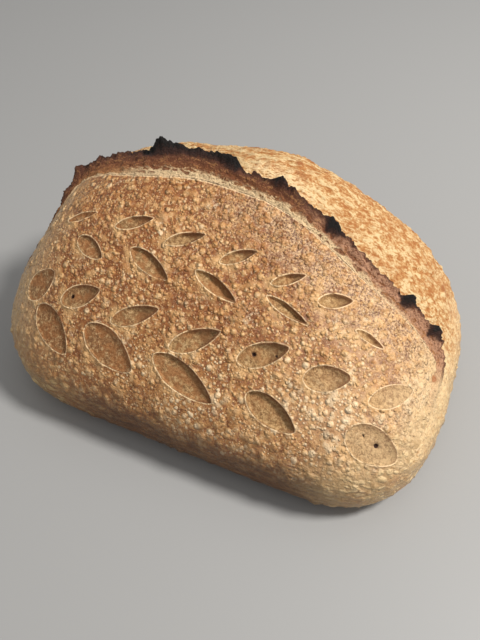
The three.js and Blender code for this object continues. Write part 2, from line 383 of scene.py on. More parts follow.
def teeth(gone, behind, lumps):
    """How far the crest's ragged teeth stand out: coarse ones, finer ones, and the finest on its lumps."""
    coarse = 1.3 * noise.noise(Vector((gone / 3.4, behind / 5, 3)))
    often = 0.7 + noise.noise(Vector((gone / 9, 0, 5)))
    finer = 1.5 * noise.noise(Vector((gone / 1.5, behind / 3, 8))) * often
    finest = (0.35 + 0.12 * abs(lumps)) * noise.noise(Vector((gone / 0.95, behind / 2, 4)))
    return coarse + finer + finest


def loaf_shape(dough, ear, leaves, corner):
    """The finished crust's point for a point of the box, and what the material needs to know there."""
    plain = dough.of_box(corner)
    normal, back, behind, gone, past = ear.near(plain)
    share = min(max(gone / ear.length, 0), 1)
    fade = bell(past, EAR_FADE)
    lift = ear.lift(share) * fade
    band = ear.band(share)
    upper = ease(10, 20, plain.z)
    foot = ease(0, 5, plain.z)

    lumps = sum(out * bell(plain.x - x, spread) for x, out, spread in CREST_LUMPS)
    crest = ease(-2.6, -0.4, behind) * (1 - ease(1, 3.6, behind)) * fade * min(lift / 4, 1)
    if behind < -band:
        out = lift * 0.14 * math.exp((behind + band) / 14)
    elif behind < 0:
        out = lift * (0.14 + 0.86 * ((behind + band) / band) ** 1.25)
    else:
        out = lift * on_line(EAR_BACK, behind)
    out += (lumps + teeth(gone, behind, lumps)) * crest
    waver = 0.35 * lumps + 0.8 * noise.noise(Vector((gone / 3, 5, 1)))
    lean = lift * on_line(EAR_LEAN, behind) + crest * waver
    dip = SADDLE_DEPTH * bell(plain.x - SADDLE_X, SADDLE_SPREAD)
    out -= dip * ease(0, 8, behind) * (1 - ease(25, 85, behind))

    # Which dough this is: the open top behind the ear, the torn band before it, or the skin
    wander = 7 * noise.fractal(plain / 26, 1, 2, 3)
    opened = ease(0, 1.5, behind) * (1 - ease(60, 92, behind + wander)) * ease(20, 56, plain.z + 2 * wander)
    torn = ease(-band - 0.4, -band + 0.4, behind) * (1 - ease(1, 3, behind)) * upper * fade
    skin = (1 - opened) * (1 - torn)

    # Fine relief, each kind with its own grain
    streak = noise.fractal(Vector((plain.x / 22, plain.y / 3, plain.z / 3)), 0.8, 2, 4)
    swellings = noise.noise(plain / 13)
    strand = noise.fractal(Vector((gone / 6, behind / 1.3, 4)), 0.9, 2, 3)
    knobs = noise.fractal(plain / 3.4, 0.7, 2, 3)
    relief = opened * (0.8 * streak + 0.6 * knobs + 0.8 * swellings) + torn * (0.7 * strand + 0.6 * knobs)
    big, big_tint = blister(plain, 6, 0.5)
    lesser, lesser_tint = blister(plain + HEART, 3.8, 0.75)
    dome, chance = (big, big_tint) if big > lesser else (lesser, lesser_tint)
    relief += skin * (0.85 * big + 0.5 * lesser + 0.35 * swellings)

    toast = 0
    for middle, radius, out_by in TOASTED_SPOTS:
        spot = bell((plain - middle).length, radius)
        toast = max(toast, spot)
        relief += out_by * spot

    # The leaf scores
    outside, uphill, leaf = leaves.near(plain)
    depth = 0
    hole = 0
    if outside < LEAF_REACH:
        depth = LEAVES[leaf][-1] / leaves.deepest
        floor = leaves.depth * depth * (0.4 + 0.6 * ease(-0.9, 0.7, uphill)) + 0.3 * noise.noise(plain / 2)
        inside = ease(0, 0.9 + 0.2 * LEAVES[leaf][4] * ease(-0.3, 0.8, uphill), -outside)
        hole = leaves.hole(plain, leaf)
        relief *= 1 - ease(0.4, -0.3, outside)
        lip = 0.4 * bell(outside - 0.2, 0.5) * (1 - 0.4 * ease(0, 1, uphill))
        relief += lip - (floor + 1.6 * hole) * inside
        if outside < 0:
            dome = 0

    point = plain + normal * (out * upper) + back * (lean * upper)
    point += outward(dough, corner, plain) * (relief * foot)
    point.z = max(point.z, 0)
    burn = on_line(CREST_CHAR, plain.x)
    char = burn * fade * upper * ease(-0.7 - 5 * burn**2, -0.2, behind) * (1 - ease(1.4, 3, behind))
    facts = {
        "ear_map": Vector((gone, behind, 0)),
        "ear_distance": behind,
        "ear_rise": (behind + band) / band,
        "ear_share": gone / ear.length,
        "ear_fade": fade * upper,
        "opened": opened,
        "char": char,
        "toast": toast,
        "leaf_distance": outside,
        "leaf_uphill": uphill,
        "leaf_depth": depth,
        "leaf_hole": hole,
        "blister": dome * skin,
        "blister_tint": chance,
    }
    return point, facts


def blister(point, cell, cover):
    """Height from 0 to 1 of the nearest blister, and its own chance number from 0 to 1."""
    distances, centres = noise.voronoi(point / cell)
    chance = 0.5 + 0.5 * noise.cell(centres[0] * 7.3)
    if chance > cover:
        return 0, chance / cover % 1
    radius = 0.34 + 0.22 * chance / cover
    return max(0, 1 - (distances[0] / radius) ** 2), chance / cover


def outward(dough, corner, point):
    """The plain dough's own normal, measured across a small step on the box."""
    side = max(range(3), key=lambda i: abs(corner[i]))
    steps = []
    for axis in ((side + 1) % 3, (side + 2) % 3):
        moved = Vector(corner)
        moved[axis] += BOX_PROBE if corner[axis] < 0 else -BOX_PROBE
        steps.append(dough.of_box(moved) - point)
    normal = steps[0].cross(steps[1])
    if normal.dot(point - HEART) < 0:
        normal.negate()
    return normal.normalized()


def grain(point, ear, leaves):
    """The edge length wanted at a point of the plain dough."""
    if point.z < 4:
        return BASE_EDGE
    _, _, behind, gone, past = ear.near(point)
    share = min(max(gone / ear.length, 0), 1)
    if point.z > 20 and past < 10 and -ear.band(share) - 2 < behind < 7:
        return EAR_EDGE
    outside, _, leaf = leaves.near(point)
    if abs(outside) < 1.3 or (outside < 0 and leaves.hole(point, leaf) > 0):
        return SCORE_EDGE
    if behind > 60 or (behind > 0 and point.z < 55):
        return BACK_EDGE
    return SKIN_EDGE if point.z > 16 else SIDE_EDGE


def loaf_mesh(form):
    """A box of cells blown out to the loaf, finer where the ear and the scores are."""
    dough = Dough(form)
    ear = Ear(dough, form)
    leaves = Leaves(dough, form)
    bm = bmesh.new()
    bmesh.ops.create_cube(bm, size=2)
    for axis, cells in enumerate(FIRST_CELLS):
        along = [e for e in bm.edges if abs(e.verts[0].co[axis] - e.verts[1].co[axis]) > 1e-6]
        bmesh.ops.subdivide_edges(bm, edges=along, cuts=cells - 1, use_grid_fill=True)
    for _ in range(PASSES):
        places = {v: dough.of_box(v.co) for v in bm.verts}
        long_edges = []
        for edge in bm.edges:
            a, b = (places[v] for v in edge.verts)
            if (a - b).length > SPLIT_OVER * grain((a + b) / 2, ear, leaves):
                long_edges.append(edge)
        if not long_edges:
            break
        bmesh.ops.subdivide_edges(bm, edges=long_edges, cuts=1, use_grid_fill=True)
    bmesh.ops.triangulate(bm, faces=[f for f in bm.faces if len(f.verts) > 4])
    facts_of = []
    for vertex in bm.verts:
        point, facts = loaf_shape(dough, ear, leaves, vertex.co)
        vertex.co = (point + MIDDLE) * MM
        facts_of.append(facts)
    for name, value in facts_of[0].items():
        kinds = bm.verts.layers.float_vector if isinstance(value, Vector) else bm.verts.layers.float
        layer = kinds.new(name)
        for vertex, facts in zip(bm.verts, facts_of):
            vertex[layer] = facts[name]
    for face in bm.faces:
        face.smooth = True
    mesh = bpy.data.meshes.new("loaf_crust")
    bm.to_mesh(mesh)
    print("triangles", sum(len(f.verts) - 2 for f in bm.faces))
    bm.free()
    return mesh


def paint(name, description, colour):
    """A colour property whose default is given as a paint program shows it."""
    return FloatVectorProperty(
        name=name, description=description, default=from_screen(*colour), subtype="COLOR", min=0, max=1
    )


class CrustLook(bpy.types.PropertyGroup):
    """Colours of the crust."""

    skin_red: paint("Skin red", "Deepest ground between the blisters", (112, 62, 31))
    skin_amber: paint("Skin amber", "Lighter ground between the blisters", (164, 104, 56))
    skin_pale: paint("Skin pale", "Pale ground towards the right end", (216, 176, 132))
    skin_rose: paint("Skin rose", "Rosy ground between the middle and the right end", (170, 112, 84))
    skin_grey: paint("Skin grey", "Fine greyish mottle beside the ear", (114, 86, 66))
    skin_flour: paint("Skin flour", "Chalky specks left by the flour", (240, 218, 184))
    blister_red: paint("Blister red", "Edges of the blisters", (166, 104, 54))
    blister_amber: paint("Blister amber", "Darker blisters", (202, 146, 88))
    blister_honey: paint("Blister honey", "Most blisters", (227, 181, 124))
    blister_cream: paint("Blister cream", "Lightest blisters", (250, 224, 184))
    foot_brown: paint("Foot brown", "Ground of the lower sides", (98, 62, 36))
    foot_olive: paint("Foot olive", "Pale blobs of the lower sides, near the ends", (212, 184, 132))
    foot_tan: paint("Foot tan", "Blobs of the lower sides between the ends", (152, 112, 72))
    foot_dark: paint("Foot dark", "Bottom edge", (70, 44, 28))
    end_gold: paint("End gold", "Creamy ends of the loaf", (240, 209, 160))
    open_gold: paint("Open gold", "Open dough behind the ear", (198, 147, 90))
    open_orange: paint("Open orange", "Its baked streaks", (172, 108, 52))
    open_cream: paint("Open cream", "Its palest streaks", (228, 199, 149))
    torn_cream: paint("Torn cream", "Torn strands at the foot of the ear", (252, 220, 172))
    torn_tan: paint("Torn tan", "Baked strands of the ear", (192, 134, 82))
    torn_rose: paint("Torn rose", "Rosy strands near its right end", (216, 164, 130))
    torn_brown: paint("Torn brown", "Middle of the ear", (136, 80, 46))
    torn_red: paint("Torn red", "Reddish hollows of the ear", (106, 62, 42))
    torn_dark: paint("Torn dark", "Upper ear", (62, 36, 28))
    char: paint("Char", "Burnt lip", (24, 19, 17))
    leaf_tan: paint("Leaf tan", "Floor of a shallow score", (190, 138, 88))
    leaf_olive: paint("Leaf olive", "Floor of a deep score", (190, 150, 100))
    leaf_brown: paint("Leaf brown", "Darker crumb of a score", (112, 76, 44))
    leaf_pale: paint("Leaf pale", "Specks in its floor", (216, 182, 134))
    leaf_rim: paint("Leaf rim", "Thin rim round a score", (248, 214, 168))


class Wiring:
    """Adds nodes to one tree, each wired to what feeds it."""

    def __init__(self, tree):
        self.tree = tree

    def add(self, kind, feeds=None, **settings):
        node = self.tree.nodes.new(kind)
        for name, value in settings.items():
            setattr(node, name, value)
        for name, value in (feeds or {}).items():
            if isinstance(value, bpy.types.NodeSocket):
                self.tree.links.new(value, node.inputs[name])
            else:
                node.inputs[name].default_value = value
        return node

    def calc(self, operation, *values):
        return self.add("ShaderNodeMath", dict(enumerate(values)), operation=operation).outputs[0]

    def chain(self, operation, *values):
        """One operation over several values, from the left."""
        whole = values[0]
        for value in values[1:]:
            whole = self.calc(operation, whole, value)
        return whole

    def total(self, *values):
        return self.chain("ADD", *values)

    def times(self, *values):
        return self.chain("MULTIPLY", *values)

    def most(self, *values):
        return self.chain("MAXIMUM", *values)

    def without(self, value):
        """1 less the value."""
        return self.calc("SUBTRACT", 1, value)

    def vector(self, operation, *values, **feeds):
        """One operation on vectors, whose values feed the first inputs and whose feeds the named ones."""
        node = self.add("ShaderNodeVectorMath", {**dict(enumerate(values)), **feeds}, operation=operation)
        return node.outputs[0]

    def step(self, value, start, end, low=0, high=1):
        """low before start, high after end, and an easy curve between them."""
        feeds = {"Value": value, "From Min": start, "From Max": end, "To Min": low, "To Max": high}
        return self.add("ShaderNodeMapRange", feeds, interpolation_type="SMOOTHSTEP").outputs["Result"]

    def mix(self, factor, first, second):
        return self.add("ShaderNodeMix", {0: factor, 6: first, 7: second}, data_type="RGBA").outputs[2]

    def cover(self, colour, new, *amounts):
        """Lays a new colour over another, as thick as the product of the amounts."""
        return self.mix(self.times(*amounts), colour, new)

    def blotch(self, vector, size, detail=3, roughness=0.5):
        """Cloudy noise from 0 to 1, with blotches of a size."""
        feeds = {"Vector": vector, "Scale": 1 / size, "Detail": detail, "Roughness": roughness}
        return self.add("ShaderNodeTexNoise", feeds).outputs["Fac"]

    def ramp(self, value, *stops):
        node = self.add("ShaderNodeValToRGB", {"Fac": value})
        elements = node.color_ramp.elements
        while len(elements) < len(stops):
            elements.new(1)
        for element, (position, colour) in zip(elements, stops):
            element.position = position
            element.color = colour
        return node.outputs["Color"]

    def fact(self, name):
        return self.add("ShaderNodeAttribute", attribute_name=name).outputs["Fac"]

    def group(self, tree, feeds):
        return self.add("ShaderNodeGroup", feeds, node_tree=tree).outputs


def new_group(name, inputs, outputs):
    """An empty node group with its sockets, and its wiring."""
    tree = bpy.data.node_groups.new(name, "ShaderNodeTree")
    for socket, kind in inputs.items():
        tree.interface.new_socket(socket, in_out="INPUT", socket_type="NodeSocket" + kind)
    for socket, kind in outputs.items():
        tree.interface.new_socket(socket, in_out="OUTPUT", socket_type="NodeSocket" + kind)
    wiring = Wiring(tree)
    return tree, wiring, wiring.add("NodeGroupInput").outputs


def blister_group():
    """Round blisters: Cell is their spacing, Cover the share of cells that holds one."""
    tree, w, given = new_group(
        "Blisters",
        {"Vector": "Vector", "Cell": "Float", "Cover": "Float"},
        {"Dome": "Float", "Mask": "Float", "Tint": "Float"},
    )
    spaced = w.vector("SCALE", given["Vector"], Scale=w.calc("DIVIDE", 1, given["Cell"]))
    cells = w.add("ShaderNodeTexVoronoi", {"Vector": spaced, "Scale": 1})
    chances = w.add("ShaderNodeSeparateColor", {0: cells.outputs["Color"]}).outputs
    radius = w.calc("MULTIPLY_ADD", chances[2], 0.26, 0.3)
    share = w.calc("DIVIDE", cells.outputs["Distance"], radius)
    there = w.calc("LESS_THAN", chances[0], given["Cover"])
    dome = w.most(w.without(w.times(share, share)), 0)
    mask = w.step(share, 1.05, 0.75)
    outputs = {"Dome": w.times(dome, there), "Mask": w.times(mask, there), "Tint": chances[1]}
    w.add("NodeGroupOutput", outputs)
    return tree


def stretched(w, given):
    """The given vector, made so much smaller that Long along X and Fine across it become 1."""
    along = w.calc("DIVIDE", 1, given["Long"])
    across = w.calc("DIVIDE", 1, given["Fine"])
    grid = w.add("ShaderNodeCombineXYZ", {0: along, 1: across, 2: across}).outputs[0]
    return w.vector("MULTIPLY", given["Vector"], grid)


def streak_group():
    """Streaks that run along X: Long and Fine are their length and width."""
    tree, w, given = new_group(
        "Streaks", {"Vector": "Vector", "Long": "Float", "Fine": "Float"}, {"Streak": "Float"}
    )
    feeds = {"Vector": stretched(w, given), "Scale": 1, "Detail": 4, "Roughness": 0.6}
    w.add("NodeGroupOutput", {"Streak": w.add("ShaderNodeTexNoise", feeds).outputs["Fac"]})
    return tree


def web_group():
    """A torn web of strands that run along X: Long and Fine are the length and width of its holes."""
    tree, w, given = new_group(
        "Web", {"Vector": "Vector", "Long": "Float", "Fine": "Float"}, {"Strand": "Float", "Tint": "Float"}
    )
    drawn = stretched(w, given)
    waves = w.add("ShaderNodeTexNoise", {"Vector": drawn, "Scale": 1.3, "Detail": 2}).outputs["Color"]
    bent = w.vector("MULTIPLY_ADD", waves, (0.7, 0.7, 0.7), drawn)
    edges = w.add("ShaderNodeTexVoronoi", {"Vector": bent, "Scale": 1}, feature="DISTANCE_TO_EDGE")
    cells = w.add("ShaderNodeTexVoronoi", {"Vector": bent, "Scale": 1})
    chance = w.add("ShaderNodeSeparateColor", {0: cells.outputs["Color"]}).outputs[0]
    w.add("NodeGroupOutput", {"Strand": w.step(edges.outputs["Distance"], 0.2, 0.07), "Tint": chance})
    return tree


class Crust:
    """What the finishes share: the colours, the groups, places, cloudy noises and the mesh's own facts."""

    def __init__(self, w, look):
        self.tint = SimpleNamespace(**{name: (*getattr(look, name), 1) for name in look.__annotations__})
        self.blisters = blister_group()
        self.streaks = streak_group()
        self.webs = web_group()
        object_place = w.add("ShaderNodeTexCoord").outputs["Object"]
        self.place = w.vector("SCALE", object_place, Scale=1 / MM)
        self.x, self.y, self.z = w.add("ShaderNodeSeparateXYZ", {0: self.place}).outputs
        self.patch = w.blotch(self.place, 22)
        self.cloud = w.blotch(self.place, 8)
        self.fine = w.blotch(self.place, 1.5, 4, 0.65)
        self.crumbly = w.blotch(self.place, 1.1, 4, 0.7)
        self.behind = w.fact("ear_distance")
        self.rise = w.fact("ear_rise")
        self.share = w.fact("ear_share")
        self.fade = w.fact("ear_fade")
        self.opened = w.fact("opened")
        self.edge = w.fact("leaf_distance")
        self.uphill = w.fact("leaf_uphill")
        self.pale = w.step(w.total(self.x, w.times(self.patch, 90)), 70, 165)


def skin_finish(w, crust):
    """The skin's colour and its blisters' height: mottled ground, nearly hidden under blisters."""
    tint, place, x, z = crust.tint, crust.place, crust.x, crust.z
    patch, cloud, fine, crumbly, pale = crust.patch, crust.cloud, crust.fine, crust.crumbly, crust.pale
    toast = w.step(w.total(w.times(patch, 0.65), w.times(cloud, 0.35)), 0.38, 0.62)
    ground = w.mix(w.step(fine, 0.36, 0.62), tint.skin_red, tint.skin_amber)
    ground = w.cover(ground, tint.skin_amber, toast, 0.5)
    below = w.step(w.total(z, w.times(cloud, 40)), 92, 70)
    honey = w.times(below, w.step(w.total(x, w.times(patch, 60)), -40, 30))
    ground = w.cover(ground, tint.blister_amber, honey, w.step(fine, 0.38, 0.56), 0.85)
    rosy = w.times(w.step(x, -20, 40), w.step(cloud, 0.45, 0.6), w.step(fine, 0.58, 0.4))
    ground = w.cover(ground, tint.skin_rose, rosy, 0.6)
    ground = w.cover(ground, tint.skin_pale, pale, 0.7)
    beside = w.times(w.step(crust.behind, -44, -12), w.step(crust.share, 0.4, 0.58))
    mottle = w.mix(w.step(crumbly, 0.42, 0.56), tint.skin_grey, tint.skin_pale)
    ground = w.cover(ground, mottle, beside, 0.85)
    grains = w.times(w.step(crumbly, 0.5, 0.62), w.step(beside, 1, 0, 0.1, 0.4))
    ground = w.cover(ground, tint.blister_red, grains)
    ground = w.cover(ground, tint.skin_red, w.step(crumbly, 0.47, 0.36), 0.4)

    shades = (
        (0.05, tint.blister_red), (0.35, tint.blister_amber),
        (0.65, tint.blister_honey), (1, tint.blister_cream),
    )
    lighten = w.total(w.times(pale, 0.28), w.times(toast, 0.26), w.times(honey, 0.24))
    lighten = w.total(lighten, w.times(beside, -0.15), -0.17)
    bare_ground = w.times(w.step(w.blotch(place, 12, 3, 0.6), 0.62, 0.5), w.total(1, w.times(beside, -0.35)))
    skin = ground
    layers = []
    for cell, cover, strength in ((1.5, 0.6, 0.7), (2.4, 0.65, 0.85), (4, 0.6, 0.85)):
        made = w.group(crust.blisters, {"Vector": place, "Cell": cell, "Cover": cover})
        # The blister's own random shade, plus a painted glow that lightens each blister towards its top,
        # plus the lightening above.
        lit = w.total(w.times(made["Tint"], 0.56), w.times(made["Dome"], 0.42), lighten)
        crowd = w.total(0.7, w.times(bare_ground, 0.3), w.times(beside, -0.45))
        skin = w.cover(skin, w.ramp(lit, *shades), made["Mask"], crowd, strength)
        layers.append(w.times(made["Dome"], cell * 0.29))
    # The mesh's own blisters get the same: their own shade, plus a painted glow towards their tops.
    raised = w.fact("blister")
    lit = w.total(w.times(w.fact("blister_tint"), 0.4), w.times(raised, 0.35), lighten)
    skin = w.cover(skin, w.ramp(lit, *shades), w.step(raised, 0.08, 0.4), 0.6)

    clumps = w.blotch(place, 5, 3, 0.6)
    clumped = w.times(w.step(clumps, 0.52, 0.66), w.step(crumbly, 0.4, 0.56), 0.6)
    skin = w.cover(skin, tint.blister_honey, clumped)
    skin = w.cover(skin, tint.skin_red, w.step(clumps, 0.47, 0.35), 0.42)
    skin = w.cover(skin, tint.blister_cream, w.step(crumbly, 0.57, 0.68), 0.6)
    skin = w.cover(skin, tint.skin_red, w.step(crumbly, 0.42, 0.32), 0.35)
    flour = w.times(w.step(w.blotch(place, 9, 5, 0.7), 0.56, 0.68), w.step(fine, 0.45, 0.62))
    skin = w.cover(skin, tint.skin_flour, flour, 0.55)
    pulled = w.times(w.step(crust.edge, 6, 1), w.step(crust.uphill, -0.8, -1.4), w.step(cloud, 0.3, 0.5))
    skin = w.cover(skin, tint.blister_honey, pulled, 0.75)
    ends = w.most(w.step(x, 98, 122), w.times(w.step(x, -78, -114), 0.85))
    skin = w.cover(skin, tint.end_gold, ends, w.step(fine, 0.3, 0.5), 0.7)
    return skin, w.total(*layers)


def side_finish(w, crust):
    """The lower sides' colour, where they are and their height: flattened blobs, darkest at the base,
    browned there and darkened further by painted shade.
    """
    tint, place, x, z, fine = crust.tint, crust.place, crust.x, crust.z, crust.fine
    sway = w.add("ShaderNodeTexNoise", {"Vector": place, "Scale": 0.16, "Detail": 3}).outputs["Color"]
    swayed = w.vector("MULTIPLY_ADD", sway, (4, 4, 4), place)
    flat = w.vector("MULTIPLY", swayed, (0.48, 0.85, 1))
    outer = w.most(w.step(x, -22, -92), w.step(x, 60, 112), w.step(crust.y, 10, 60, 0, 0.5))
    lifted = w.total(z, w.times(crust.cloud, 30), w.times(outer, -6), w.times(crust.opened, 14))
    low = w.step(lifted, 62, 34)
    blobs = w.group(crust.blisters, {"Vector": flat, "Cell": 3.6, "Cover": 0.85})
    crumbs = w.group(crust.blisters, {"Vector": flat, "Cell": 2, "Cover": 0.75})
    drag = w.group(crust.streaks, {"Vector": place, "Long": 13, "Fine": 2})["Streak"]

    blob = w.mix(outer, tint.foot_tan, tint.foot_olive)
    blob = w.cover(blob, tint.end_gold, w.step(x, 56, 110), 0.7)
    dragged = w.times(w.step(drag, 0.46, 0.62), w.total(0.35, w.times(outer, 0.35)))
    side = w.mix(dragged, tint.foot_brown, blob)
    side = w.cover(side, blob, crumbs["Mask"], w.total(0.1, w.times(crumbs["Tint"], 0.6)))
    plenty = w.total(0.6, w.times(outer, 0.4))
    side = w.cover(side, blob, blobs["Mask"], w.total(0.1, blobs["Tint"]), plenty)
    ends = w.most(w.step(x, -50, -100), w.step(x, 50, 104))
    side = w.cover(side, tint.foot_olive, ends, 0.7)
    # Darker towards the base: partly the browned foot, partly painted shade low on the sides.
    dark = w.step(w.total(z, w.times(drag, 26), w.times(outer, 8)), 54, 17)
    darkest = w.mix(w.step(drag, 0.4, 0.62), tint.foot_dark, tint.foot_brown)
    side = w.cover(side, darkest, dark, w.step(outer, 0, 1, 0.8, 0.35))
    side = w.cover(side, tint.end_gold, w.step(x, 64, 118), w.step(fine, 0.36, 0.6), 0.6)
    gap = w.times(w.step(blobs["Dome"], 0.4, 0.12), w.step(crumbs["Dome"], 0.5, 0.2), outer)
    side = w.cover(side, tint.foot_tan, gap, 0.5)
    reddish = w.times(w.step(crust.patch, 0.46, 0.6), w.step(fine, 0.66, 0.46), outer, 0.5)
    side = w.cover(side, tint.blister_red, reddish)
    palest = w.times(blobs["Mask"], w.step(blobs["Tint"], 0.4, 0.65), w.total(0.25, w.times(outer, 0.45)))
    side = w.cover(side, blob, palest)
    bumps = w.total(w.times(blobs["Dome"], 0.8), w.times(crumbs["Dome"], 0.45), w.times(drag, 0.5))
    return side, low, w.times(low, bumps)


def open_finish(w, crust):
    """The open dough's colour and height: streaks along the loaf, creamier next to the ear."""
    tint, place, x, behind = crust.tint, crust.place, crust.x, crust.behind
    broad = w.group(crust.streaks, {"Vector": place, "Long": 8, "Fine": 3})["Streak"]
    narrow = w.group(crust.streaks, {"Vector": place, "Long": 2.4, "Fine": 0.9})["Streak"]
    drawn = w.total(w.times(broad, 0.6), w.times(narrow, 0.38), w.times(crust.fine, 0.22), -0.08)
    drawn = w.total(drawn, w.times(w.step(behind, 26, 4), 0.04), w.times(w.step(x, 30, -30), 0.02))
    bare = w.ramp(drawn, (0.44, tint.open_orange), (0.51, tint.open_gold), (0.59, tint.open_cream))
    baked = w.step(w.blotch(place, 18, 5, 0.6), 0.47, 0.62)
    toasted = w.times(baked, w.step(narrow, 0.7, 0.42), w.step(x, 122, 90, 0.25, 1))
    bare = w.cover(bare, tint.open_orange, toasted, 0.5)
    last_opened = w.times(w.step(x, -12, 2), w.step(x, 44, 20), w.step(behind, 24, 9))
    freshly = w.most(w.step(behind, 12, 3), last_opened)
    bare = w.cover(bare, tint.torn_cream, freshly, w.step(narrow, 0.4, 0.52), 0.75)
    ridges = w.total(w.times(broad, 1.6), w.times(narrow, 1), w.times(crust.fine, 0.6))
    return bare, w.times(crust.opened, ridges)


def ear_finish(w, crust, colour):
    """The colour with the ear on it, where its torn front is, and that front's height.

    A cream web at its foot, baked strands above it, then the burnt lip.
    """
    tint, cloud, crumbly, rise, share = crust.tint, crust.cloud, crust.crumbly, crust.rise, crust.share
    route = w.add("ShaderNodeAttribute", attribute_name="ear_map").outputs["Vector"]
    char = w.fact("char")
    strands = w.group(crust.streaks, {"Vector": route, "Long": 4, "Fine": 0.9})["Streak"]
    web = w.group(crust.webs, {"Vector": route, "Long": 6.5, "Fine": 2.3})
    creamy = w.times(w.step(share, 0.26, 0.36), w.step(share, 0.9, 0.66))
    left = w.step(share, 0.34, 0.2)
    right = w.step(share, 0.58, 0.72)
    ragged = w.total(rise, w.times(strands, 0.9), w.times(crumbly, 0.9), w.times(cloud, 0.3), -1)
    ragged = w.total(ragged, w.times(left, -0.06), w.times(right, -0.16))
    torn = w.ramp(
        ragged,
        (0.1, tint.torn_tan), (0.46, tint.torn_brown),
        (0.78, tint.torn_red), (1, tint.torn_dark),
    )
    flecks = w.times(w.step(w.total(crumbly, strands), 1.02, 1.14), w.step(rise, 1.05, 0.7))
    torn = w.cover(torn, tint.torn_tan, flecks, 0.7)
    rosy_strands = w.times(right, w.step(strands, 0.38, 0.5), w.step(rise, 1.1, 0.75))
    torn = w.cover(torn, tint.torn_rose, rosy_strands, 0.8)
    cream = w.step(w.total(w.times(strands, 1.5), crumbly, w.times(rise, -1.6)), 0.76, 0.92)
    torn = w.cover(torn, tint.torn_cream, cream, creamy, 0.9)
    foot_web = w.times(web["Strand"], w.step(w.total(rise, w.times(crumbly, 0.8)), 0.85, 0.62), creamy)
    torn = w.cover(torn, tint.torn_cream, foot_web, 0.8)
    some_holes = w.step(web["Tint"], 0.52, 0.56)
    hollow = w.times(w.step(web["Strand"], 0.5, 0.1), some_holes, w.step(rise, 0.7, 0.5), creamy)
    torn = w.cover(torn, tint.torn_brown, hollow, w.step(rise, 0.06, 0.14), 0.85)
    torn = w.cover(torn, tint.torn_red, w.step(crumbly, 0.5, 0.38), 0.6)

    ended = w.total(0.2, w.times(w.step(share, 0.985, 0.93), 0.8))
    band = w.times(w.step(rise, -0.03, 0.03), w.step(crust.behind, 3.2, 1.4), crust.fade, ended)
    colour = w.cover(colour, torn, band)
    foot = w.times(w.step(rise, -0.12, -0.05), w.step(rise, 0.12, 0.06))
    line = w.times(foot, crust.fade, w.step(share, 0.95, 0.85))
    colour = w.cover(colour, tint.leaf_rim, line, w.step(crumbly, 0.3, 0.5), 0.9)
    scorched = w.step(w.total(char, w.times(crumbly, 0.7), w.times(strands, 0.5)), 0.85, 1.2)
    colour = w.cover(colour, tint.torn_dark, scorched)
    burnt = w.step(w.total(char, w.times(crumbly, 0.7), w.times(cloud, 0.4)), 1.15, 1.4)
    colour = w.cover(colour, tint.char, burnt)
    rough_front = w.total(w.times(crumbly, 1.8), w.times(hollow, -0.7), w.times(strands, 0.8))
    return colour, band, w.times(band, rough_front)


def score_finish(w, crust, skin, colour):
    """The colour with the scores on it, where they are and their height: crumb floors in a thin rim."""
    tint, place, x, pale = crust.tint, crust.place, crust.x, crust.pale
    edge, uphill = crust.edge, crust.uphill
    depth = w.fact("leaf_depth")
    shallow = w.mix(0.45, skin, tint.leaf_tan)
    crumb = w.mix(w.step(depth, 0.3, 0.8), shallow, tint.leaf_olive)
    crumb = w.cover(crumb, tint.end_gold, pale, w.step(depth, 0.7, 0.4), 0.45)
    crumb = w.cover(crumb, tint.leaf_brown, w.step(x, 10, -60), 0.3)
    weave = w.blotch(place, 1.6, 5, 0.75)
    specks = w.times(w.step(weave, 0.54, 0.4), w.step(pale, 0, 1, 0.7, 0.5))
    crumb = w.cover(crumb, tint.leaf_brown, specks)
    crumb = w.cover(crumb, tint.leaf_pale, w.step(weave, 0.52, 0.64), 0.85)
    toasted = w.times(w.step(w.blotch(place, 5, 3), 0.45, 0.58), w.step(x, 80, 0))
    crumb = w.cover(crumb, tint.skin_amber, toasted, 0.6)
    # Painted shade: the floor is darkened with leaf brown towards its deep uphill side, where the
    # overhanging wall shades it.
    shaded = w.times(w.step(uphill, -0.3, 1), w.step(depth, 0.2, 0.7))
    crumb = w.cover(crumb, tint.leaf_brown, shaded, 0.5)
    # Painted shade: the steep uphill wall of a deeper score is darkened with skin red, as if shadowed by its
    # own overhang.
    wall_shade = w.times(w.step(edge, -1.8, -0.3), w.step(uphill, -0.2, 0.5))
    crumb = w.cover(crumb, tint.skin_red, wall_shade, w.step(depth, 0.2, 0.6), 0.6)
    # Painted shade: the holes in a score's floor are filled with the near-black of the upper ear, standing
    # in for the shade inside them.
    crumb = w.cover(crumb, tint.torn_dark, w.step(w.fact("leaf_hole"), 0.3, 0.7))

    rim = w.times(w.step(edge, -0.2, -0.05), w.step(edge, 0.62, 0.3), w.step(uphill, 1.2, 0.1, 0.6, 1))
    colour = w.cover(colour, tint.leaf_rim, rim, w.step(w.blotch(place, 4, 3), 0.3, 0.5))
    inside = w.step(edge, 0.1, -0.15)
    colour = w.cover(colour, crumb, inside)
    return colour, inside, w.times(inside, w.times(weave, 1.1))


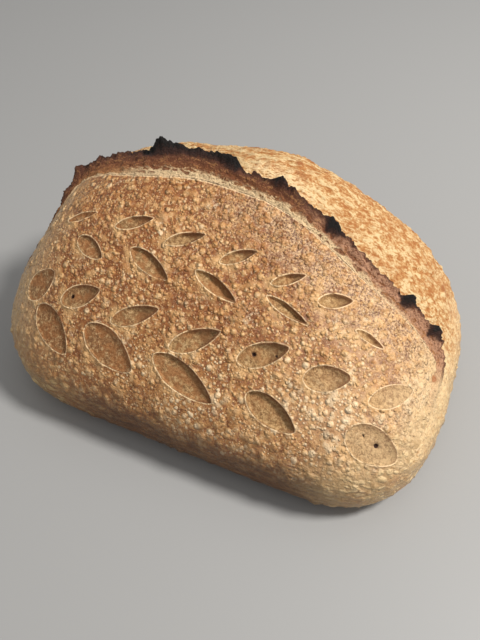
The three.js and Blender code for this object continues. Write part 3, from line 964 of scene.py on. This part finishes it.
def crust_material(look):
    """The one finish of the loaf: skin, open dough, torn ear, char and scores, each where the mesh says."""
    material = bpy.data.materials.new("Crust")
    material.use_nodes = True
    w = Wiring(material.node_tree)
    shader = material.node_tree.nodes["Principled BSDF"]
    crust = Crust(w, look)
    skin, blister_height = skin_finish(w, crust)
    side, low, side_height = side_finish(w, crust)
    skin = w.cover(skin, side, low, 0.9)
    bare, open_height = open_finish(w, crust)
    colour = w.mix(crust.opened, skin, bare)
    spots = w.times(w.fact("toast"), w.total(0.5, w.times(crust.fine, 0.9)))
    colour = w.cover(colour, crust.tint.blister_red, w.step(spots, 0.3, 0.75))
    colour, band, torn_height = ear_finish(w, crust, colour)
    colour, inside, cut_height = score_finish(w, crust, skin, colour)

    torn_or_cut = w.most(band, inside, w.times(crust.opened, 0.6))
    gloss = w.times(w.step(crust.fine, 0.62, 0.42), w.without(torn_or_cut))
    rough = w.total(0.52, w.times(gloss, -0.22), w.times(torn_or_cut, 0.28))

    smooth = w.without(w.most(band, inside, crust.opened))
    blistered = w.times(blister_height, w.without(w.times(low, 0.8)))
    skin_height = w.times(smooth, w.total(blistered, side_height, w.times(crust.crumbly, 0.5)))
    height = w.total(open_height, torn_height, cut_height, skin_height)
    bump = w.add("ShaderNodeBump", {"Height": height, "Distance": MM, "Strength": 1})

    shader.inputs["Specular IOR Level"].default_value = 0.42
    w.tree.links.new(colour, shader.inputs["Base Color"])
    w.tree.links.new(rough, shader.inputs["Roughness"])
    w.tree.links.new(bump.outputs[0], shader.inputs["Normal"])
    return material


class LOAF_OT_crust(bpy.types.Operator):
    """Models the loaf, from its plain dough to its blisters"""

    bl_idname = "loaf.crust"
    bl_label = "Loaf"

    def execute(self, context):
        mesh = loaf_mesh(context.scene.loaf_form)
        loaf = bpy.data.objects.new("loaf_crust", mesh)
        context.scene.collection.objects.link(loaf)
        mesh.materials.append(crust_material(context.scene.loaf_look))
        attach(loaf, "root")
        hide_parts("loaf")
        return {"FINISHED"}


class LOAF_OT_stage(bpy.types.Operator):
    """Sets up the floor, the soft lights and the camera"""

    bl_idname = "loaf.stage"
    bl_label = "Stage"

    def execute(self, context):
        scene = context.scene
        add_floor(scene)
        add_lights(scene)
        add_camera(scene)
        scene.view_settings.view_transform = "Standard"
        return {"FINISHED"}


def add_floor(scene):
    """A plain grey floor under the loaf."""
    bm = bmesh.new()
    bmesh.ops.create_grid(bm, x_segments=4, y_segments=4, size=FLOOR_HALF_WIDTH)
    mesh = bpy.data.meshes.new("floor")
    bm.to_mesh(mesh)
    bm.free()
    floor = bpy.data.objects.new("floor", mesh)
    scene.collection.objects.link(floor)
    material = bpy.data.materials.new("Floor")
    material.use_nodes = True
    material.node_tree.nodes["Principled BSDF"].inputs["Base Color"].default_value = FLOOR_GREY
    mesh.materials.append(material)


def add_lights(scene):
    """An even pale sky, and one round lamp high on the right."""
    world = bpy.data.worlds.new("Studio")
    world.use_nodes = True
    sky = world.node_tree.nodes["Background"]
    sky.inputs["Color"].default_value = SKY_COLOUR
    sky.inputs["Strength"].default_value = SKY_STRENGTH
    scene.world = world
    data = bpy.data.lights.new("Key", "AREA")
    data.shape = "DISK"
    data.size = LAMP_WIDTH
    data.energy = LAMP_POWER
    data.color = LAMP_COLOUR
    lamp = bpy.data.objects.new("Key", data)
    scene.collection.objects.link(lamp)
    lamp.location = LAMP_AIM + LAMP_TOWARD * LAMP_DISTANCE
    lamp.rotation_mode = "QUATERNION"
    lamp.rotation_quaternion = LAMP_TOWARD.to_track_quat("Z", "Y")


def add_camera(scene):
    """The camera looks down at the flap from the front right, with the loaf a little off centre."""
    data = bpy.data.cameras.new("Camera")
    camera = bpy.data.objects.new("Camera", data)
    scene.collection.objects.link(camera)
    data.sensor_width = SENSOR_WIDTH
    data.lens = FOCAL_LENGTH_PX / PICTURE_HEIGHT_PX * SENSOR_WIDTH
    data.clip_start = NEAREST_SEEN
    scene.camera = camera

    azimuth, elevation, roll = (
        math.radians(a) for a in (CAMERA_AZIMUTH, CAMERA_ELEVATION, CAMERA_ROLL)
    )
    target = (CAMERA_AIM + MIDDLE) * MM
    back = Vector((
        math.sin(azimuth) * math.cos(elevation),
        -math.cos(azimuth) * math.cos(elevation),
        math.sin(elevation),
    ))
    forward = -back
    right = forward.cross(Vector((0, 0, 1))).normalized()
    down = forward.cross(right)
    rolled_right = right * math.cos(roll) + down * math.sin(roll)
    rolled_down = down * math.cos(roll) - right * math.sin(roll)
    axes = Matrix((rolled_right, rolled_down, forward))  # rows: world to picture, target on the axis
    aside_x = (AIM_X_PX - PICTURE_WIDTH_PX / 2) / FOCAL_LENGTH_PX
    aside_y = (AIM_Y_PX - PICTURE_HEIGHT_PX / 2) / FOCAL_LENGTH_PX
    aside = Vector((aside_x, aside_y, 1)).normalized()
    axes = Vector((0, 0, 1)).rotation_difference(aside).to_matrix() @ axes
    turned = Matrix((axes[0], -axes[1], -axes[2])).transposed()
    place = target + back * CAMERA_DISTANCE * MM
    camera.matrix_world = Matrix.LocRotScale(place, turned.to_quaternion(), None)


class LOAF_PT_panel(bpy.types.Panel):
    """Lists the loaf's operators and sizes"""

    bl_label = "Loaf"
    bl_idname = "LOAF_PT_panel"
    bl_space_type = "VIEW_3D"
    bl_region_type = "UI"
    bl_category = "Loaf"

    def draw(self, context):
        for settings in (context.scene.loaf_form, context.scene.loaf_look):
            for name in settings.__annotations__:
                self.layout.prop(settings, name)
        self.layout.operator("loaf.crust")
        self.layout.operator("loaf.stage")


CLASSES = (LoafForm, CrustLook, LOAF_OT_crust, LOAF_OT_stage, LOAF_PT_panel)


def register():
    for cls in CLASSES:
        bpy.utils.register_class(cls)
    bpy.types.Scene.loaf_form = PointerProperty(type=LoafForm)
    bpy.types.Scene.loaf_look = PointerProperty(type=CrustLook)


def unregister():
    del bpy.types.Scene.loaf_look
    del bpy.types.Scene.loaf_form
    for cls in reversed(CLASSES):
        bpy.utils.unregister_class(cls)


def main():
    register()
    bpy.ops.loaf.crust()
    bpy.ops.loaf.stage()
    bpy.context.view_layer.update()


if __name__ == "__main__":
    main()
